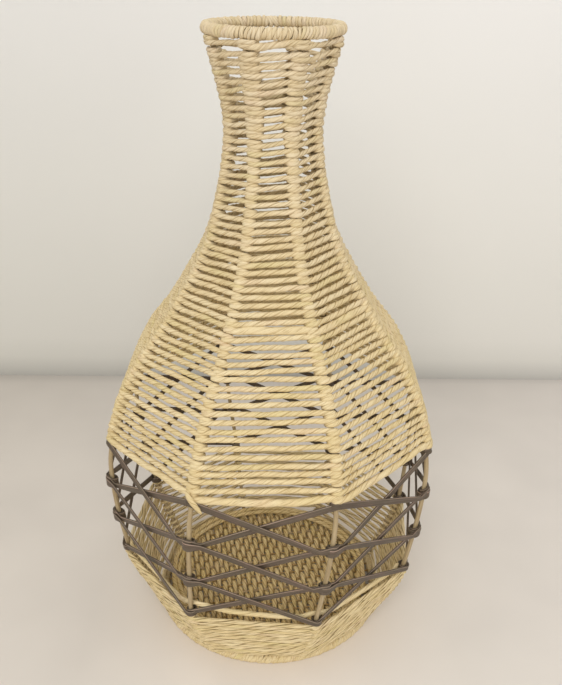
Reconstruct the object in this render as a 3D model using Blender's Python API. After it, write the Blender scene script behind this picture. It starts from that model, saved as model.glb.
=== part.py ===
"""Woven vase of paper rope on a wire frame.

Eight bent wires run from a base ring up to a rim ring. Rope is wound round them in close courses:
a neck, a shoulder and a body above, a bowl below. Between body and bowl lies an open band, which
flat dark strips cross in a lattice. A woven mat on four cross wires closes the bottom.
The vase stands on z = 0, its axis is +Z, and -Y is its front.
"""

import math

import bmesh
import bpy
import numpy as np
from mathutils import Matrix, Vector

# Clearance between pieces that touch on the real object
SEAT_GAP = 0.0003
# Step in height at which the profile is measured
PROFILE_STEP = 0.0005
# Overall height, to the top of the rim
VASE_HEIGHT = 0.504
# Rings: radius of the wire's centre line, wire and rope binding
BASE_RADIUS = 0.100
RIM_RADIUS = 0.047
RING_WIRE_RADIUS = 0.0018
RIM_BINDING_THICKNESS = 0.0021
BASE_BINDING_THICKNESS = 0.0023
# Profile of a bent wire, upwards from the base ring: rise of each stretch, and radius at its top.
# The neck takes up what is left of the height, and is narrowest at a share of its length.
BOWL_RISE = 0.070
BOWL_RIM_RADIUS = 0.1306
BELLY_RISE = 0.091
BELLY_RADIUS = 0.1398
SHOULDER_EDGE_RISE = 0.050
SHOULDER_EDGE_RADIUS = 0.1298
SHOULDER_RISE = 0.037
SHOULDER_RADIUS = 0.1120
HOLLOW_RISE = 0.038
HOLLOW_RADIUS = 0.0838
THROAT_RISE = 0.075
THROAT_RADIUS = 0.0445
NECK_RADIUS = 0.0328
NECK_WAIST_SHARE = 0.52
# Bent wires
RIB_COUNT = 8
RIB_RADIUS = 0.0019
RIB_TWIST = math.radians(6.8)
RIB_STATION_STEP = 0.022
# Upper weave
ROPE_RADIUS = 0.0020
ROPE_PITCH = 0.0062
TOP_COURSE_CLEARANCE = 0.0013
WEAVE_FOOT_DROP = 0.021
# Each rope starts at this wire, counted from nought, and steps down a course on the facet before it
START_RIB = 4
# Bowl weave, of the same rope in closer courses
BOWL_ROPE_PITCH = 0.0057
BOWL_ROUND_SHARE = 0.55
# Lattice strips
STRIP_WIDTH = 0.0053
STRIP_THICKNESS = 0.0014
STRIP_LAP = 0.0045
STRIP_ROWS = 3
# Mat in the bottom
CROSS_WIRE_RADIUS = 0.0010
CROSS_WIRE_COUNT = 4
CROSS_WIRE_SPACING = 0.038
MAT_ROPE_RADIUS = 0.0019
MAT_ROPE_PITCH = 0.0062
MAT_FLOOR_CLEARANCE = 0.0006
MAT_TURN_SHARE = 2.2
MAT_ANGLE = math.radians(9)
# Facets of round pieces
RING_STEPS = 32
BINDING_SIDES = 8
WIRE_SIDES = 6

RIB_PITCH = 2 * math.pi / RIB_COUNT
CORNER = math.cos(RIB_PITCH / 2)
RIM_BINDING_RADIUS = RING_WIRE_RADIUS + SEAT_GAP + RIM_BINDING_THICKNESS
BASE_BINDING_RADIUS = RING_WIRE_RADIUS + SEAT_GAP + BASE_BINDING_THICKNESS
# The base binding stands on one flat side, and the rim binding ends in one
BASE_HEIGHT = BASE_BINDING_RADIUS * math.cos(math.pi / BINDING_SIDES)
RIM_HEIGHT = VASE_HEIGHT - RIM_BINDING_RADIUS * math.cos(math.pi / BINDING_SIDES)

PROFILE = [(BASE_HEIGHT, BASE_RADIUS)]
for rise, radius in (
    (BOWL_RISE, BOWL_RIM_RADIUS),
    (BELLY_RISE, BELLY_RADIUS),
    (SHOULDER_EDGE_RISE, SHOULDER_EDGE_RADIUS),
    (SHOULDER_RISE, SHOULDER_RADIUS),
    (HOLLOW_RISE, HOLLOW_RADIUS),
    (THROAT_RISE, THROAT_RADIUS),
):
    PROFILE.append((PROFILE[-1][0] + rise, radius))
BOWL_RIM_HEIGHT = PROFILE[1][0]
HOLLOW_HEIGHT = PROFILE[5][0]
THROAT_HEIGHT = PROFILE[6][0]
PROFILE.append((THROAT_HEIGHT + (RIM_HEIGHT - THROAT_HEIGHT) * NECK_WAIST_SHARE, NECK_RADIUS))
PROFILE.append((RIM_HEIGHT, RIM_RADIUS))
RIB_SPANS = round((RIM_HEIGHT - BASE_HEIGHT) / RIB_STATION_STEP)
# Body and open band share the belly: the body's last course lies this far below the shoulder's edge
WEAVE_FOOT_HEIGHT = PROFILE[3][0] - WEAVE_FOOT_DROP


def chord_slopes():
    """Slope of the profile at each station, flat where it turns back, so that it never overshoots."""
    chords = [
        (upper[1] - lower[1]) / (upper[0] - lower[0]) for lower, upper in zip(PROFILE, PROFILE[1:])
    ]
    slopes = [chords[0]]
    for below, above in zip(chords, chords[1:]):
        slopes.append(2 * below * above / (below + above) if below * above > 0 else 0.0)
    slopes.append(chords[-1])
    return slopes


SLOPES = chord_slopes()


def wall_radius(height):
    """Radius of a bent wire's centre line at this height."""
    height = min(max(height, PROFILE[0][0]), PROFILE[-1][0])
    index = max(i for i in range(len(PROFILE) - 1) if PROFILE[i][0] <= height)
    (low, start), (high, end) = PROFILE[index : index + 2]
    run = high - low
    t = (height - low) / run
    return (
        start * (1 + 2 * t) * (1 - t) ** 2
        + run * SLOPES[index] * t * (1 - t) ** 2
        + end * t * t * (3 - 2 * t)
        + run * SLOPES[index + 1] * t * t * (t - 1)
    )


def wall_slope(height):
    """How fast the radius grows with height."""
    low = max(height - PROFILE_STEP, PROFILE[0][0])
    high = min(height + PROFILE_STEP, PROFILE[-1][0])
    return (wall_radius(high) - wall_radius(low)) / (high - low)


def rib_angle(rib, height):
    """Angle of a bent wire from the front, towards +X. The wires lean round in the lower half."""
    up = max(height - BOWL_RIM_HEIGHT, 0.0) / (RIM_HEIGHT - BOWL_RIM_HEIGHT)
    return (rib + 0.5) * RIB_PITCH - RIB_TWIST * (1 - up) ** 3


def wire_point(rib, height):
    """Point on the smooth centre line of a bent wire."""
    angle = rib_angle(rib, height)
    radius = wall_radius(height)
    return Vector((radius * math.sin(angle), -radius * math.cos(angle), height))


def station_height(station):
    return BASE_HEIGHT + (RIM_HEIGHT - BASE_HEIGHT) * station / RIB_SPANS


def outward(rib, height):
    """Unit vectors at a bent wire: square to the wall, and up along it."""
    angle = rib_angle(rib, height)
    radial = Vector((math.sin(angle), -math.cos(angle), 0))
    slope = wall_slope(height)
    normal = (radial - slope * Vector((0, 0, 1))).normalized()
    along = (slope * radial + Vector((0, 0, 1))).normalized()
    return normal, along


def on_rib(rib, height, offset):
    """Point that lies off a bent wire, square to the wall. The wire is straight between stations."""
    share = (height - BASE_HEIGHT) / (RIM_HEIGHT - BASE_HEIGHT) * RIB_SPANS
    station = min(max(math.floor(share), 0), RIB_SPANS - 1)
    below = wire_point(rib, station_height(station))
    above = wire_point(rib, station_height(station + 1))
    return below.lerp(above, share - station) + outward(rib, height)[0] * offset


def between_ribs(position, height, offset):
    """Point at a place counted in ribs, such as 2.5 half way from the third rib to the fourth."""
    rib = math.floor(position)
    share = position - rib
    start = on_rib(rib, height, offset)
    return start.lerp(on_rib(rib + 1, height, offset), share)


def courses_down(top, bottom, pitch):
    """Heights of level courses, spaced evenly down the slope of the wall from top to bottom."""
    lengths = [0.0]
    levels = [top]
    while levels[-1] > bottom:
        level = max(levels[-1] - PROFILE_STEP, bottom)
        widening = wall_radius(level) - wall_radius(levels[-1])
        lengths.append(lengths[-1] + math.hypot(levels[-1] - level, widening))
        levels.append(level)
    spaces = round(lengths[-1] / pitch)
    reaches = [lengths[-1] * space / spaces for space in range(spaces + 1)]
    return [float(height) for height in np.interp(reaches, lengths, levels)]


def course_height(heights, place):
    """Height of the rope at a place counted in ribs from its start."""
    course, way = divmod(place, RIB_COUNT)
    height = heights[int(course)]
    step = way - (RIB_COUNT - 1)
    if step > 0:
        height += (heights[int(course) + 1] - height) * step
    return height


def clear_scene():
    for old in list(bpy.data.objects):
        bpy.data.objects.remove(old, do_unlink=True)


def make_material(name, colour, roughness, metallic=0.0):
    material = bpy.data.materials.new(name)
    material.use_nodes = True
    shader = material.node_tree.nodes["Principled BSDF"]
    shader.inputs["Base Color"].default_value = (*colour, 1)
    shader.inputs["Roughness"].default_value = roughness
    shader.inputs["Metallic"].default_value = metallic
    return material


def add_object(name, data, material):
    data.materials.append(material.copy())
    data.materials[0].name = name
    piece = bpy.data.objects.new(name, data)
    bpy.context.collection.objects.link(piece)
    return piece


def add_tube(name, points, radius, material):
    """Round wire or rope along points, with closed ends."""
    curve = bpy.data.curves.new(name, "CURVE")
    curve.dimensions = "3D"
    curve.twist_mode = "Z_UP"
    curve.bevel_depth = radius
    curve.bevel_resolution = 1
    curve.use_fill_caps = True
    spline = curve.splines.new("POLY")
    spline.points.add(len(points) - 1)
    for place, point in zip(spline.points, points):
        place.co = (*point, 1)
    return add_object(name, curve, material)


def ring_mesh(name, radius, height, section, sides):
    """Torus whose section is a polygon with one flat side down."""
    body = bmesh.new()
    corners = []
    for side in range(sides):
        angle = 2 * math.pi * (side + 0.5) / sides - math.pi / 2
        place = (radius + section * math.cos(angle), 0, height + section * math.sin(angle))
        corners.append(body.verts.new(place))
    edges = [body.edges.new((a, b)) for a, b in zip(corners, corners[1:] + corners[:1])]
    bmesh.ops.spin(
        body,
        geom=corners + edges,
        axis=(0, 0, 1),
        cent=(0, 0, 0),
        angle=2 * math.pi,
        steps=RING_STEPS,
        use_merge=True,
    )
    bmesh.ops.recalc_face_normals(body, faces=body.faces)
    mesh = bpy.data.meshes.new(name)
    body.to_mesh(mesh)
    body.free()
    return mesh


def add_ring_wire(name, radius, height, material):
    mesh = ring_mesh(name, radius, height, RING_WIRE_RADIUS, WIRE_SIDES)
    mesh.shade_smooth()
    return add_object(name, mesh, material)


def add_cutter(name, mesh):
    cutter = bpy.data.objects.new(name, mesh)
    bpy.context.collection.objects.link(cutter)
    cutter.hide_render = True
    cutter.display_type = "WIRE"
    return cutter


def rods_mesh(name, rods, sides):
    """Straight rods, each given as start, end and radius, in one mesh."""
    body = bmesh.new()
    for start, end, radius in rods:
        made = bmesh.ops.create_cone(
            body,
            cap_ends=True,
            segments=sides,
            radius1=radius,
            radius2=radius,
            depth=(end - start).length,
        )
        turn = (end - start).to_track_quat("Z", "Y").to_matrix()
        bmesh.ops.rotate(body, verts=made["verts"], matrix=turn)
        bmesh.ops.translate(body, verts=made["verts"], vec=(start + end) / 2)
    mesh = bpy.data.meshes.new(name)
    body.to_mesh(mesh)
    body.free()
    return mesh


def add_binding(name, radius, height, section, rods, material):
    """Rope binding round a ring wire, open where other wires reach the ring wire."""
    mesh = ring_mesh(name, radius, height, section, BINDING_SIDES)
    mesh.shade_smooth()
    binding = add_object(name, mesh, material)
    bore = ring_mesh(name + "_bore", radius, height, RING_WIRE_RADIUS + SEAT_GAP, WIRE_SIDES)
    holes = rods_mesh(name + "_holes", rods, WIRE_SIDES)
    for cutter in (add_cutter(name + "_bore", bore), add_cutter(name + "_holes", holes)):
        cut = binding.modifiers.new(cutter.name, "BOOLEAN")
        cut.operation = "DIFFERENCE"
        cut.object = cutter
        cut.use_self = True
    return binding


def rib_points(rib):
    """Route of one bent wire, which stops short of both ring wires."""
    base = wire_point(rib, BASE_HEIGHT)
    rim = wire_point(rib, RIM_HEIGHT)
    inner = [wire_point(rib, station_height(station)) for station in range(1, RIB_SPANS)]
    reach = RING_WIRE_RADIUS + SEAT_GAP
    start = base + (inner[0] - base).normalized() * reach
    end = rim + (inner[-1] - rim).normalized() * reach
    return [start, *inner, end]


def least_gap(points, per_turn, radius):
    """Smallest distance between the rope and its next turn, surface to surface."""
    least = math.inf
    for index, point in enumerate(points):
        for other in range(index + per_turn // 2, min(index + per_turn * 2, len(points) - 1)):
            start, end = points[other], points[other + 1]
            run = end - start
            share = min(max((point - start).dot(run) / run.length_squared, 0), 1)
            least = min(least, (start + run * share - point).length)
    return least - 2 * radius


def winding_points(heights, first, last, offset):
    """Rope corners from one place to another along the winding, both counted in ribs."""
    places = [first, *range(math.floor(first) + 1, math.ceil(last)), last]
    return [
        between_ribs(START_RIB + place, course_height(heights, place), offset) for place in places
    ]


def add_upper_weave(material):
    """Rope of the neck, shoulder and body, in three lengths that meet where it steps down."""
    offset = (RIB_RADIUS + SEAT_GAP + ROPE_RADIUS) / CORNER
    top = RIM_HEIGHT - RIM_BINDING_RADIUS - TOP_COURSE_CLEARANCE - ROPE_RADIUS
    heights = courses_down(top, WEAVE_FOOT_HEIGHT, ROPE_PITCH)
    facet = 2 * HOLLOW_RADIUS * math.sin(RIB_PITCH / 2)
    half_joint = SEAT_GAP / 2 / facet
    splices = []
    for target in (THROAT_HEIGHT, HOLLOW_HEIGHT):
        course = next(index for index, height in enumerate(heights) if height < target)
        splices.append(course * RIB_COUNT - 0.5)
    ends = [0, *splices, len(heights) * RIB_COUNT - 1]
    for name, first, last in zip(("neck_weave", "shoulder_weave", "body_weave"), ends, ends[1:]):
        start = first + half_joint if first else first
        stop = last - half_joint if last in splices else last
        points = winding_points(heights, start, stop, offset)
        add_tube(name, points, ROPE_RADIUS, material)
        gap = least_gap(points, RIB_COUNT, ROPE_RADIUS)
        print(f"{name}: {(last - first) / RIB_COUNT:.1f} turns, least gap {gap * 1000:.2f} mm")


def bowl_points(heights, offset):
    """Rope of the bowl: straight between wires at the top, rounding towards the base ring."""
    round_from = BASE_HEIGHT + (BOWL_RIM_HEIGHT - BASE_HEIGHT) * BOWL_ROUND_SHARE
    last = len(heights) * RIB_COUNT - 1
    points = []
    for place in range(last + 1):
        points.append(on_rib(START_RIB + place, course_height(heights, place), offset))
        height = course_height(heights, min(place + 0.5, last))
        roundness = (round_from - height) / (round_from - BASE_HEIGHT)
        if roundness > 0 and place < last:
            middle = between_ribs(START_RIB + place + 0.5, height, offset)
            bulge = (1 / CORNER - 1) * roundness
            points.append(Vector((middle.x * (1 + bulge), middle.y * (1 + bulge), middle.z)))
    return points


def add_bowl_weave(material):
    offset = (RIB_RADIUS + SEAT_GAP + ROPE_RADIUS) / CORNER
    top = BOWL_RIM_HEIGHT - strip_half_height() - SEAT_GAP * 2 - ROPE_RADIUS
    bottom = BASE_HEIGHT + BASE_BINDING_RADIUS + SEAT_GAP * 2 + ROPE_RADIUS
    heights = courses_down(top, bottom, BOWL_ROPE_PITCH)
    points = bowl_points(heights, offset)
    add_tube("bowl_weave", points, ROPE_RADIUS, material)
    gap = least_gap(points, RIB_COUNT, ROPE_RADIUS)
    print(f"bowl_weave: {len(heights)} turns, least gap {gap * 1000:.2f} mm")


def lattice_levels():
    """Heights at which the strips cross the bent wires, from the body weave down to the bowl."""
    top = WEAVE_FOOT_HEIGHT - ROPE_RADIUS - SEAT_GAP - strip_half_height()
    return [top + (BOWL_RIM_HEIGHT - top) * row / STRIP_ROWS for row in range(STRIP_ROWS + 1)]


def strip_half_height():
    """Half the height that a sloping strip takes up on a bent wire."""
    run = 2 * BELLY_RADIUS * math.sin(RIB_PITCH / 2)
    drop = (WEAVE_FOOT_HEIGHT - BOWL_RIM_HEIGHT) / STRIP_ROWS
    return STRIP_WIDTH / 2 * math.hypot(run, drop) / run


def strip_section(point, normal, half_thickness, half_width):
    """Four corners of a strip's section, in order round it."""
    return [
        point + normal * half_thickness + half_width,
        point + normal * half_thickness - half_width,
        point - normal * half_thickness - half_width,
        point - normal * half_thickness + half_width,
    ]


def add_strip(name, rib, heights, layer, material):
    """Flat strip over three facets, folded at each bent wire, with a short lap past its end wires."""
    offset = (RIB_RADIUS + SEAT_GAP + STRIP_THICKNESS / 2) / CORNER
    offset += layer * (STRIP_THICKNESS + SEAT_GAP) / CORNER
    half_height = strip_half_height()
    sections = []
    for step, height in enumerate(heights):
        corner = on_rib(rib + step, height, offset)
        normal, along = outward(rib + step, height)
        section = strip_section(corner, normal, STRIP_THICKNESS / 2 / CORNER, along * half_height)
        lap = None
        if step in (0, len(heights) - 1):
            side = -1 if step == 0 else 1
            ahead = (on_rib(rib + step + side, height, offset) - corner).normalized()
            facet_normal = (normal - normal.dot(ahead) * ahead).normalized()
            lap = strip_section(
                corner + ahead * STRIP_LAP, facet_normal, STRIP_THICKNESS / 2, along * half_height
            )
        sections += [lap, section] if step == 0 else [section, lap] if lap else [section]
    body = bmesh.new()
    rings = [[body.verts.new(corner) for corner in section] for section in sections]
    for before, after in zip(rings, rings[1:]):
        for side in range(4):
            body.faces.new((before[side], before[side - 1], after[side - 1], after[side]))
    body.faces.new(rings[0])
    body.faces.new(rings[-1][::-1])
    bmesh.ops.recalc_face_normals(body, faces=body.faces)
    mesh = bpy.data.meshes.new(name)
    body.to_mesh(mesh)
    body.free()
    return add_object(name, mesh, material)


def add_lattice(material):
    levels = lattice_levels()
    for rib in range(RIB_COUNT):
        add_strip(f"outer_strip_{rib + 1}", rib, levels, 1, material)
        add_strip(f"inner_strip_{rib + 1}", rib, levels[::-1], 0, material)


def mat_height():
    """Height of the cross wires, with the mat's rope passing under them clear of the floor."""
    return MAT_FLOOR_CLEARANCE + 2 * MAT_ROPE_RADIUS + SEAT_GAP + CROSS_WIRE_RADIUS


def mat_point(x, y, height):
    """Point of the mat, whose rows lie a little askew to the front."""
    return Matrix.Rotation(MAT_ANGLE, 3, "Z") @ Vector((x, y, height))


def cross_wire_rows():
    """Where the cross wires lie along the mat's rows."""
    middle = (CROSS_WIRE_COUNT - 1) / 2
    return [(index - middle) * CROSS_WIRE_SPACING for index in range(CROSS_WIRE_COUNT)]


def cross_wire_ends():
    """End points of the cross wires, which stop short of the base ring wire."""
    ends = []
    for y in cross_wire_rows():
        slant = CROSS_WIRE_RADIUS * abs(y) / BASE_RADIUS
        reach = BASE_RADIUS - RING_WIRE_RADIUS - SEAT_GAP - slant
        x = math.sqrt(reach**2 - y**2)
        ends.append((mat_point(-x, y, mat_height()), mat_point(x, y, mat_height())))
    return ends


def mat_reach(x, wires, lift):
    """Half length of the mat's row at x. No row turns back close to a cross wire."""
    inside = BASE_RADIUS - BASE_BINDING_RADIUS - SEAT_GAP - MAT_ROPE_RADIUS
    reach = math.sqrt(inside**2 - x**2)
    turn = MAT_TURN_SHARE * lift
    for y in wires:
        if abs(reach - y) < turn:
            reach = y - turn
    return reach


def add_mat(material):
    """One rope laid to and fro from front to back, over and under the cross wires in turn."""
    lift = CROSS_WIRE_RADIUS + SEAT_GAP + MAT_ROPE_RADIUS
    level = mat_height()
    wires = cross_wire_rows()
    rows = math.floor(2 * (BASE_RADIUS - BASE_BINDING_RADIUS) / MAT_ROPE_PITCH) - 1
    points = []
    for row in range(rows):
        x = (row - (rows - 1) / 2) * MAT_ROPE_PITCH
        way = 1 if row % 2 else -1
        reach = mat_reach(x, wires, lift)
        stops = [(x, -reach * way), (x, reach * way)]
        if points:
            stops.insert(0, points[-1][:2])
        for (from_x, from_y), (to_x, to_y) in zip(stops, stops[1:]):
            crossed = [(index, y) for index, y in enumerate(wires) if (from_y - y) * (to_y - y) < 0]
            for index, y in sorted(crossed, key=lambda wire: abs(wire[1] - from_y)):
                side = 1 if (row + index) % 2 == (from_x == to_x) else -1
                share = (y - from_y) / (to_y - from_y)
                points.append((from_x + (to_x - from_x) * share, y, level + lift * side))
            points.append((to_x, to_y, level))
        if row == 0:
            points.insert(0, (*stops[0], level))
    add_tube("base_mat", [mat_point(*point) for point in points], MAT_ROPE_RADIUS, material)


def entering_rods(radius, height, section, ribs):
    """Clearance rods for the bent wires where they pass through a binding."""
    rods = []
    for points in ribs:
        start, follows = points[:2] if height < BOWL_RIM_HEIGHT else points[:-3:-1]
        ahead = (follows - start).normalized()
        rods.append((start - ahead * RING_WIRE_RADIUS, start + ahead * 2 * section, radius))
    return rods


def build():
    clear_scene()
    rope = make_material("rope", (0.70, 0.56, 0.32), 0.85)
    wire = make_material("painted_wire", (0.56, 0.42, 0.23), 0.5, 0.2)
    strip = make_material("dark_strip", (0.115, 0.08, 0.06), 0.6)

    ribs = [rib_points(rib) for rib in range(RIB_COUNT)]
    for rib, points in enumerate(ribs):
        add_tube(f"rib_{rib + 1}", points, RIB_RADIUS, wire)
    add_ring_wire("rim_ring", RIM_RADIUS, RIM_HEIGHT, wire)
    add_ring_wire("base_ring", BASE_RADIUS, BASE_HEIGHT, wire)
    hole = RIB_RADIUS + SEAT_GAP
    rim_rods = entering_rods(hole, RIM_HEIGHT, RIM_BINDING_RADIUS, ribs)
    add_binding("rim_binding", RIM_RADIUS, RIM_HEIGHT, RIM_BINDING_RADIUS, rim_rods, rope)
    base_rods = entering_rods(hole, BASE_HEIGHT, BASE_BINDING_RADIUS, ribs)
    for index, (start, end) in enumerate(cross_wire_ends()):
        add_tube(f"cross_wire_{index + 1}", [start, end], CROSS_WIRE_RADIUS, wire)
        inward = (end - start).normalized() * 2 * BASE_BINDING_RADIUS
        base_rods.append((start, start + inward, CROSS_WIRE_RADIUS + SEAT_GAP))
        base_rods.append((end, end - inward, CROSS_WIRE_RADIUS + SEAT_GAP))
    add_binding("base_binding", BASE_RADIUS, BASE_HEIGHT, BASE_BINDING_RADIUS, base_rods, rope)
    add_mat(rope)
    add_upper_weave(rope)
    add_bowl_weave(rope)
    add_lattice(strip)


build()
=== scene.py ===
"""Looks of the woven vase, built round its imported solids.

Twisted rope in courses with a loop round every bent wire, wrapped rings, knotted lattice strips,
loose ropes, a woven mat, their materials, a pale floor and wall, soft light and the camera.
Lengths are in metres. Places round the wall are counted in bent wires (ribs), from nought.
"""

import math

import bpy
import numpy as np
from mathutils import Matrix, Vector


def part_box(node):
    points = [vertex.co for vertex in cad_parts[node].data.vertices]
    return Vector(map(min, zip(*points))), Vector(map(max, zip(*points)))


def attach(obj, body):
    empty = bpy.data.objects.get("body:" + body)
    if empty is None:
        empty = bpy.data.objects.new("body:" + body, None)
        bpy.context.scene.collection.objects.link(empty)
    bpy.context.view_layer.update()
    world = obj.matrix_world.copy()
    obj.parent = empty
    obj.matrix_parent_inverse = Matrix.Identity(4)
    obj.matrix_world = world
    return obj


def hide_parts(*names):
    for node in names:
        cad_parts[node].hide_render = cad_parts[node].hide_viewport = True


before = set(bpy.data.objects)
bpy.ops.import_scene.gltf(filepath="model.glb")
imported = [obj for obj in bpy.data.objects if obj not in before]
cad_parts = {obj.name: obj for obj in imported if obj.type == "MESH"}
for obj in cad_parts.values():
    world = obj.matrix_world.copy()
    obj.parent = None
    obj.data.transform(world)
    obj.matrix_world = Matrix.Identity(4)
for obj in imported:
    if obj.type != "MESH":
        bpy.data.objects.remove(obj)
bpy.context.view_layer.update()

UP = np.array((0.0, 0.0, 1.0))
FULL_TURN = 2 * math.pi
SEAT_GAP = 0.0003
FLOOR_GAP = 0.0002

# Seeds of the random draws
UPPER_SEED = 11
BOWL_SEED = 23
LATTICE_SEED = 37
MAT_SEED = 41
BORDER_SEED = 43
RIM_SEED = 51
BASE_SEED = 53

# Wall: rise of each stretch of a bent wire above the base ring, and radius at its top
WALL_STRETCHES = (
    (0.070, 0.1306),
    (0.091, 0.1398),
    (0.050, 0.1298),
    (0.037, 0.1120),
    (0.038, 0.0838),
    (0.075, 0.0445),
)
NECK_RADIUS = 0.0328
NECK_WAIST_SHARE = 0.52
PROFILE_STEP = 0.0005
RING_WIRE_RADIUS = 0.0018
BINDING_SIDES = 8
RIB_COUNT = 8
RIB_RADIUS = 0.0019
RIB_STEPS = 110
RIB_TWIST = math.radians(6.8)
RIB_PITCH = FULL_TURN / RIB_COUNT

# Wires at the left end of the left facet, the front facet and the right facet
LEFT = 6
FRONT = 7
RIGHT = 8

# Rope: half sizes of its section, and turns of its twist in a metre
ROPE_RADIUS = 0.0020
ROPE_HALF_THICK = 0.00205
ROPE_HALF_WIDE = 0.00215
ROPE_RATE = 1 / 0.0195
SLACK_RATE = 1 / 0.0360
ROPE_STEP = 0.0016
ROPE_END = 0.002
LEAST_TAPER = 0.15

# Shapes of a rope: half thickness, half width, turns of twist in a metre, and smoothness
PLAIN_ROPE = (ROPE_HALF_THICK, ROPE_HALF_WIDE, ROPE_RATE, 0.0)
FRONT_TOP_ROPE = (0.0023, 0.0026, ROPE_RATE, 0.2)
FOOT_ROPE = (0.0023, 0.0029, SLACK_RATE, 0.6)
FRONT_FOOT_ROPE = (0.0025, 0.0031, SLACK_RATE, 0.6)
SPLICE_ROPE = (0.0021, 0.0031, SLACK_RATE, 0.8)
SPLICE_END_ROPE = (0.0021, 0.0029, SLACK_RATE, 0.7)
BOWL_ROPE = (0.0018, 0.0018, 1 / 0.0450, 0.0)

# Unevenness of a taut run: its amounts, and the lengths of its waves
RUN_RISE = 0.00042
RISE_WAVE = 0.060
RUN_BULGE = 0.0003
BULGE_WAVE = 0.045
RUN_SWELL = 0.07
SWELL_WAVE = 0.024
RUN_RATE_STRAY = 0.22
RATE_WAVE = 0.035
RUN_SLACKNESS = (0.15, 0.38)
SLACK_WAVE = 0.040
MOST_SLACK = 0.9
RUN_EASE = 0.007
RUN_SAG = 0.0003
NECK_SLIMNESS = 0.18
SLIM_HEIGHTS = (0.350, 0.400)

# Upper weave
ROPE_PITCH = 0.0062
TOP_COURSE_CLEARANCE = 0.0013
WEAVE_FOOT_DROP = 0.021
START_RIB = 4
THROAT_COURSE_HEIGHT = 0.3651
HOLLOW_COURSE_HEIGHT = 0.2901
SPLICE_HEIGHT = 0.3026
SPLICE_SAG = 0.0004
FOOT_SAG = 0.0010
FRONT_FOOT_SAG = 0.0042

# Loop of rope round a wire
LOOP_STEPS = 16
LOOP_DROP = 0.0031
LOOP_SHIFT = 0.0004
LOOP_HALF_THICK = 0.00155
LOOP_HALF_WIDE = 0.00195
LOOP_SIZES = (0.93, 1.08)
LOOP_SOFTNESS = 0.4
LOOP_FRONT_LIFT = 0.0007
LIFT_AT_START = 0.4
LIFT_GAIN = 1.2
NECK_LOOP_SPREAD = 0.6
NECK_LOOP_DROP = 0.12
SPREAD_HEIGHTS = (0.410, 0.450)

# Bowl weave
BOWL_PITCH = 0.0057
BOWL_ROUND_SHARE = 0.55
BOWL_LOOP_SIZE = 0.72
BOWL_FOOT_TUCK = 0.0055
BOWL_TUCK_RISE = 0.013

# Lattice strips
STRIP_WIDTH = 0.0053
STRIP_THICKNESS = 0.0014
STRIP_GIRTH = math.pi * (STRIP_WIDTH + STRIP_THICKNESS) / 2
STRIP_ROWS = 3
STRIP_STEP = 0.0013
KNOT_TURNS = 1
KNOT_RISE = 0.0013
KNOT_REACH = 0.0085
KNOT_HALF_THICK = 0.0006
KNOT_HALF_WIDE = 0.0038
KNOT_SIZES = (0.92, 1.08)
KNOT_WAIST = 0.0021
KNOT_SINK = 0.0003
KNOT_TILT = 0.0018
KNOT_SWELL = 0.0006
KNOT_SHIFT = 0.0005
KNOT_STRAY = 0.00012
KNOT_STEPS = 20
SPAN_SHARES = (0.22, 0.50, 0.78)
HOOK_TURN = math.radians(205)
HOOK_FALL = 0.0022
HOOK_STEPS = 10

# Turns of rope round the rings. Their waves are counted in turns.
WRAP_SAMPLES = 16
WRAP_WIDTHS = (0.62, 1.45)
WRAP_LEAN = 0.3
WRAP_LEAN_WAVE = 9.0
WRAP_SWELL = 0.15
WRAP_SWELL_WAVE = 2.1
WRAP_SOFTNESS = 0.6
WRAP_SEAM = math.radians(191)
RIM_WRAPS = 92
RIM_SLANT = 0.25
BASE_WRAPS = 172
BASE_SLANT = 0.9

# Mat
MAT_RADIUS = 0.0905
MAT_PITCH = 0.0047
MAT_WEFTS = 4
MAT_WEFT_RADIUS = 0.0008
MAT_WEFT_POINTS = 8
MAT_HALF_THICK = 0.0021
MAT_HALF_WIDE = 0.0021
MAT_WIDENING = 0.04
MAT_RATE = 1 / 0.021
MAT_RATES = (0.9, 1.1)
MAT_STEP = 0.0012
MAT_LIFT_SHARE = 0.9
MAT_END_EASE = 0.004
MAT_DRIFT = 0.0003
MAT_DRIFT_WAVE = 0.07
BORDER_RADII = (0.0845, 0.0925)
BORDER_TURNS = 2
BORDER_STEPS = 330
BORDER_RISE = 0.0030
BORDER_STRAY = 0.0005
BORDER_WAVE = 0.06

# Loose ropes
LOOSE_STEPS = 10
LOOSE_ROUNDING = 5
RIM_ROPE_SOFTNESS = 0.6
RIM_ROPE_END = 0.004
TAIL_SOFTNESS = 0.2
TAIL_END = 0.0015

# Tints of the rope. A stop is a place on a colour ramp and the colour there.
WHITE = (1.0, 1.0, 1.0)
# Heights over which the rope turns bluer: painted cool light on the upper part
COOL_LIGHT_HEIGHTS = (0.24, 0.50)
ROPE_TINTS = (
    (0.30, (0.765, 0.650, 0.340)),
    (0.46, (0.780, 0.635, 0.360)),
    (0.58, (0.845, 0.715, 0.445)),
    (0.70, (0.775, 0.608, 0.375)),
)

# Floor and wall. A fade of painted light and shade multiplies their colour: an axis, two places on
# it and stops between.
STAGE_REACH = 4.0
WALL_DISTANCE = 0.406
WALL_TOP = 3.0
FLOOR_COLOUR = (0.768, 0.716, 0.655)
FLOOR_GRAIN = 9.0
WALL_COLOUR = (0.863, 0.848, 0.805)
WALL_GRAIN = 2.0
MOTTLE_SHADE = 0.95
# Across the floor: painted shade to the left, and a painted pool of light in the middle that lifts
# the vase's shadow
FLOOR_SIDE_PAINTED_LIGHT = (
    (0.0, (0.895, 0.885, 0.87)),
    (0.32, (0.93, 0.925, 0.92)),
    (0.44, (1.12, 1.11, 1.11)),
    (0.56, (1.12, 1.11, 1.11)),
    (0.68, (0.98, 0.98, 0.98)),
    (1.0, (1.0, 1.0, 1.02)),
)
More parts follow.
